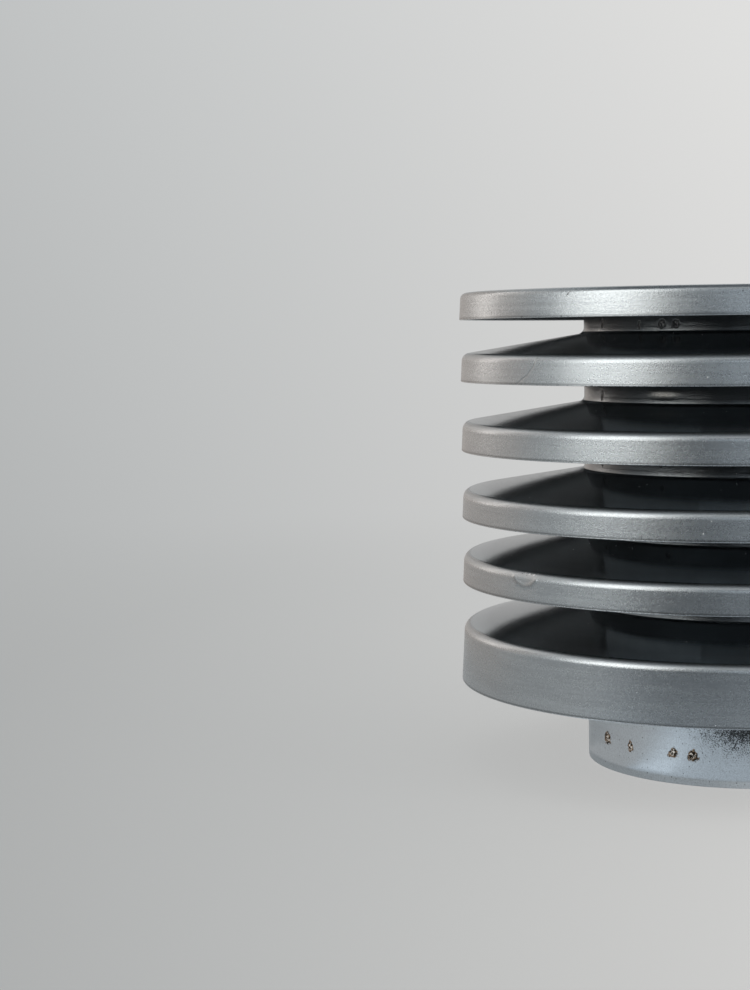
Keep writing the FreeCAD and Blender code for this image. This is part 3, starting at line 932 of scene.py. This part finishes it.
def build_cap():
    """The cap. Its inside starts where its section meets the axis, which is the section's highest point."""
    node = "top_cap"
    section = cap_section(outer_radius(node))
    piece = spin("top_cap_spun", section, SEGMENTS)
    seat(piece, node, lowest(node))
    marks = [
        fly_specks(density=0.05, darkness=0.5, cell=4.8),
        scratch(CAP_SIDE, [(33.9, 9.4), (33.2, 11.2)], width=0.3, darkness=0.8),
        specks(CAP_SIDE, [(55.4, 2.9, 0.45), (45.1, 0.6, 0.6), (35.0, 0.5, 0.5), (1.2, 9.9, 0.5)]),
    ]
    zones = painted_shade_zones(section, (0.0, section_top(section)))
    metal = galvanised("top_cap_metal", SHEET_GREY, RING_ROUGH, 41.0, marks, CAP_HATCH, zones)
    piece.data.materials.append(metal)


def build_spigot():
    """The spigot, with its welds and the spatter from them."""
    node = "spigot"
    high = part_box(node)[1].z / MM
    piece = spin("spigot_rolled", spigot_section(high), SEGMENTS)
    seat(piece, node, 0.0)
    marks = [
        fly_specks(density=0.30, darkness=0.75, cell=3.2, radius=SPIGOT_OUTSIDE),
        fly_specks(density=0.42, darkness=0.65, cell=1.6, radius=SPIGOT_OUTSIDE),
        spatter_and_shade(from_azimuth=4.0, to_azimuth=27.0, low=8.5, high=25.0),
        welds(SPIGOT_OUTSIDE, SPIGOT_WELD_HEIGHT, SPIGOT_WELDS, 1.0, SPIGOT_BURNT, raggedness=1.5, taper=0.4),
    ]
    metal = galvanised("spigot_metal", SPIGOT_GREY, SPIGOT_ROUGH, 57.0, marks, SPIGOT_HATCH)
    piece.data.materials.append(metal)


def build_straps():
    """The straps keep their solids' meshes, with the metal's finish."""
    metal = galvanised("strap_metal", STRAP_GREY, STRAP_ROUGH, 73.0)
    for number in range(1, STRAP_COUNT + 1):
        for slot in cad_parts[f"strap_{number}"].material_slots:
            slot.material = metal


# Studio

# The backdrop's level, how fast it rises to the right and up, and between what limits.
BACKDROP_MIDDLE = 0.70
BACKDROP_ACROSS = 0.57
BACKDROP_UP = 0.29
BACKDROP_SIDES = (-0.45, 0.20)
BACKDROP_HEIGHTS = (-0.40, 0.30)
COOL_WHITE = (0.975, 1.0, 1.003, 1.0)
WARM_WHITE = (1.0, 0.997, 0.985, 1.0)


def build_world():
    """A pale backdrop all round, a little darker to the left of the photograph's view and below."""
    world = bpy.data.worlds.new("studio")
    bpy.context.scene.world = world
    world.use_nodes = True
    s = Shader(world.node_tree, "ShaderNodeOutputWorld")
    x, _, z = s.split(s.node("ShaderNodeTexCoord").outputs["Generated"])
    across = s.slope(x, *BACKDROP_SIDES, BACKDROP_ACROSS)
    upward = s.slope(z, *BACKDROP_HEIGHTS, BACKDROP_UP)
    level = s.math("ADD", s.math("ADD", across, upward), BACKDROP_MIDDLE)
    tint = s.mix(s.span(x, -0.40, 0.05), COOL_WHITE, WARM_WHITE)
    background = s.node("ShaderNodeBackground")
    s.put(background.inputs["Color"], s.scale(tint, level))
    s.put(s.output.inputs["Surface"], background.outputs[0])


# The floor in metres, its level and how fast that rises to the right as painted light, and how clear it is in
# the middle.
FLOOR_RADIUS = 1.6
FLOOR_SIDES = 96
FLOOR_SOLID = 0.45
FLOOR_FADED = 1.44
FLOOR_PALE = 0.68
FLOOR_ACROSS = 0.5
FLOOR_LIMITS = (-0.45, 0.15)
FLOOR_CLEAR = 0.76
FLOOR_RED = 0.985
FLOOR_HEIGHT = -0.0002


def build_floor():
    """A pale floor that holds the shadow and fades into the backdrop."""
    mesh = bpy.data.meshes.new("floor")
    turns = [FULL_TURN * n / FLOOR_SIDES for n in range(FLOOR_SIDES)]
    ring = [(FLOOR_RADIUS * math.cos(turned), FLOOR_RADIUS * math.sin(turned), 0.0) for turned in turns]
    faces = [(0, n + 1, (n + 1) % FLOOR_SIDES + 1) for n in range(FLOOR_SIDES)]
    mesh.from_pydata([(0.0, 0.0, 0.0)] + ring, [], faces)
    floor = bpy.data.objects.new("floor", mesh)
    bpy.context.scene.collection.objects.link(floor)
    floor.location.z = FLOOR_HEIGHT
    material, s = new_material("floor_paper")
    place = s.node("ShaderNodeTexCoord").outputs["Object"]
    # Painted light: the floor grows paler to the right, as the backdrop does.
    rising = s.slope(s.split(place)[0], *FLOOR_LIMITS, FLOOR_ACROSS)
    fibre = s.swing(s.noise(place, 900.0, 2.0), 0.2, 1.0, 0.015)
    pale = s.math("MULTIPLY", s.math("ADD", rising, FLOOR_PALE), fibre)
    paper = s.node("ShaderNodeBsdfDiffuse")
    s.put(paper.inputs["Color"], s.combine(s.math("MULTIPLY", pale, FLOOR_RED), pale, pale))
    clear = s.node("ShaderNodeBsdfTransparent")
    blend = s.node("ShaderNodeMixShader")
    fade = s.span(s.vector("LENGTH", place), FLOOR_SOLID, FLOOR_FADED, FLOOR_CLEAR, 1.0)
    s.put(blend.inputs[0], fade)
    s.put(blend.inputs[1], paper.outputs[0])
    s.put(blend.inputs[2], clear.outputs[0])
    s.put(s.output.inputs["Surface"], blend.outputs[0])
    mesh.materials.append(material)


# The colours of the lights and cards, and how the cards are divided.
WINDOW = (1.0, 0.975, 0.925)
PALE_WINDOW = (1.0, 0.985, 0.96)
WARM = (1.0, 0.90, 0.83)
NEUTRAL = (1.0, 0.995, 0.985)
COOL = (0.92, 1.0, 1.07)
CARD_RADIUS = 1.35
CARD_STEPS = 48
CEILING_STEPS = 64


def softbox(name, azimuth, distance, middle, wide, high, radiance, colour):
    """A soft panel of light that faces the axis. Its middle is a height in metres."""
    light = bpy.data.lights.new(name, "AREA")
    light.shape = "RECTANGLE"
    light.size = wide
    light.size_y = high
    light.energy = radiance * math.pi * wide * high
    light.color = colour
    lamp = bpy.data.objects.new(name, light)
    bpy.context.scene.collection.objects.link(lamp)
    turned = math.radians(azimuth)
    place = Vector((-math.sin(turned) * distance, -math.cos(turned) * distance, middle))
    lamp.location = place
    lamp.rotation_mode = "QUATERNION"
    lamp.rotation_quaternion = (place - Vector((0.0, 0.0, middle))).to_track_quat("Z", "Y")
    lamp.visible_camera = False


def card(name, vertices, faces, level, colour=COOL):
    """A grey card that only reflections show. Its level is a number, or a function that adds nodes for it."""
    mesh = bpy.data.meshes.new(name)
    mesh.from_pydata(vertices, [], faces)
    made = bpy.data.objects.new(name, mesh)
    bpy.context.scene.collection.objects.link(made)
    made.visible_camera = False
    made.visible_diffuse = False
    made.visible_transmission = False
    made.visible_shadow = False
    material, s = new_material(f"{name}_paper")
    glow = s.node("ShaderNodeEmission")
    glow.inputs["Color"].default_value = (*colour, 1.0)
    s.put(glow.inputs["Strength"], level(s) if callable(level) else level)
    s.put(s.output.inputs["Surface"], glow.outputs[0])
    mesh.materials.append(material)


def graded(from_azimuth, to_azimuth, from_level, to_level):
    """A card's level that changes round the axis."""

    def level(s):
        place = s.node("ShaderNodeTexCoord").outputs["Object"]
        return s.span(azimuth_of(s, place), from_azimuth, to_azimuth, from_level, to_level)

    return level


def ring_card(name, from_azimuth, to_azimuth, low, high, level, inner=None, radius=CARD_RADIUS, **colour):
    """A grey card round the axis: upright between two heights, or flat on the floor from an inner radius."""
    vertices = []
    for step in range(CARD_STEPS + 1):
        turned = math.radians(from_azimuth + (to_azimuth - from_azimuth) * step / CARD_STEPS)
        across = Vector((-math.sin(turned), -math.cos(turned), 0.0))
        far = across * radius
        near = far if inner is None else across * inner
        top = low if inner is not None else high
        vertices += [near + Vector((0.0, 0.0, low)), far + Vector((0.0, 0.0, top))]
    faces = [(2 * n, 2 * n + 1, 2 * n + 3, 2 * n + 2) for n in range(CARD_STEPS)]
    card(name, vertices, faces, level, **colour)


def ceiling_card(radius, height, level):
    """A dim ceiling that only reflections show."""
    rim = [FULL_TURN * n / CEILING_STEPS for n in range(CEILING_STEPS)]
    vertices = [(radius * math.cos(turned), radius * math.sin(turned), height) for turned in rim]
    card("ceiling_card", vertices, [tuple(range(CEILING_STEPS))], level)


def build_lights():
    """Soft panels as (azimuth, distance, middle, width, height, radiance), and cards for the metal to mirror.

    Cards are given as (from azimuth, to azimuth, low, high, level). A card with an inner radius lies flat.
    """
    softbox("window_left", 53.5, 1.30, 0.80, 0.74, 1.12, 1.97, WINDOW)
    softbox("window_right", -62.0, 1.30, 0.82, 0.60, 1.10, 1.5, PALE_WINDOW)
    softbox("rim_left", 119.0, 1.35, 0.66, 0.30, 0.90, 1.35, WARM)
    ring_card("warm_wall", 92.0, 158.0, 0.02, 1.1, 0.56, radius=1.40, colour=WARM)
    ring_card("back_card", 158.0, 182.0, 0.0, 0.6, 0.46, radius=1.40, colour=NEUTRAL)
    ring_card("warm_floor_card", 100.0, 160.0, 0.004, 0.0, 0.48, inner=0.45, colour=WARM)
    ring_card("front_belt", -50.0, 43.0, 0.0, 0.25, 0.035)
    ring_card("front_card", -36.0, 38.0, 0.25, 1.4, 0.28)
    soft_edge = graded(26.0, 38.0, 0.15, 1.95)
    ring_card("window_edge", 26.0, 37.8, 0.24, 1.36, soft_edge, radius=1.34, colour=WINDOW)
    ring_card("front_strip", -4.0, 4.5, 0.03, 0.30, 0.45, radius=1.33)
    ring_card("front_high_strip", -5.0, 5.0, 0.30, 0.8, 1.0, radius=1.33)
    ring_card("front_floor_card", -60.0, 48.0, 0.004, 0.0, 0.26, inner=0.34)
    ring_card("reflector", -10.0, 48.0, 0.003, 0.0, 0.56, inner=0.081, radius=0.32)
    ring_card("left_reflector", 48.0, 85.0, 0.003, 0.0, 0.46, inner=0.081, radius=0.32, colour=NEUTRAL)
    ring_card("small_reflector", 29.0, 43.0, 0.004, 0.0, 0.84, inner=0.082, radius=0.28)
    ceiling_card(0.95, 1.5, 0.15)


# Camera, fitted to the photograph: 36 mm of sensor to the picture's 990 pixels.
CAMERA_PLACE = Vector((0.00238, -0.97033, 0.20634))
CAMERA_YAW = 0.126711
CAMERA_PITCH = 0.081135
CAMERA_ROLL = -0.010681
CAMERA_SHIFT = -0.13
FOCAL_PIXELS = 1987.73
SENSOR = 36.0
PICTURE_HEIGHT = 990.0


def build_camera():
    """The camera looks a little left of the axis and down. The axis falls on the picture's right edge."""
    data = bpy.data.cameras.new("camera")
    data.sensor_width = SENSOR
    data.lens = FOCAL_PIXELS * SENSOR / PICTURE_HEIGHT
    data.shift_x = CAMERA_SHIFT
    data.clip_start = 0.01
    data.clip_end = 50.0
    camera = bpy.data.objects.new("camera", data)
    bpy.context.scene.collection.objects.link(camera)
    level = math.cos(CAMERA_PITCH)
    forward = Vector((-math.sin(CAMERA_YAW) * level, math.cos(CAMERA_YAW) * level, -math.sin(CAMERA_PITCH)))
    right = forward.cross(Vector((0.0, 0.0, 1.0))).normalized()
    up = right.cross(forward)
    rolled_right = right * math.cos(CAMERA_ROLL) + up * math.sin(CAMERA_ROLL)
    rolled_up = up * math.cos(CAMERA_ROLL) - right * math.sin(CAMERA_ROLL)
    turn = Matrix((rolled_right, rolled_up, -forward)).transposed()
    camera.matrix_world = Matrix.Translation(CAMERA_PLACE) @ turn.to_4x4()
    bpy.context.scene.camera = camera


build_camera()
build_rings()
build_cap()
build_spigot()
build_straps()
build_world()
build_floor()
build_lights()
bpy.context.scene.view_settings.view_transform = "Standard"
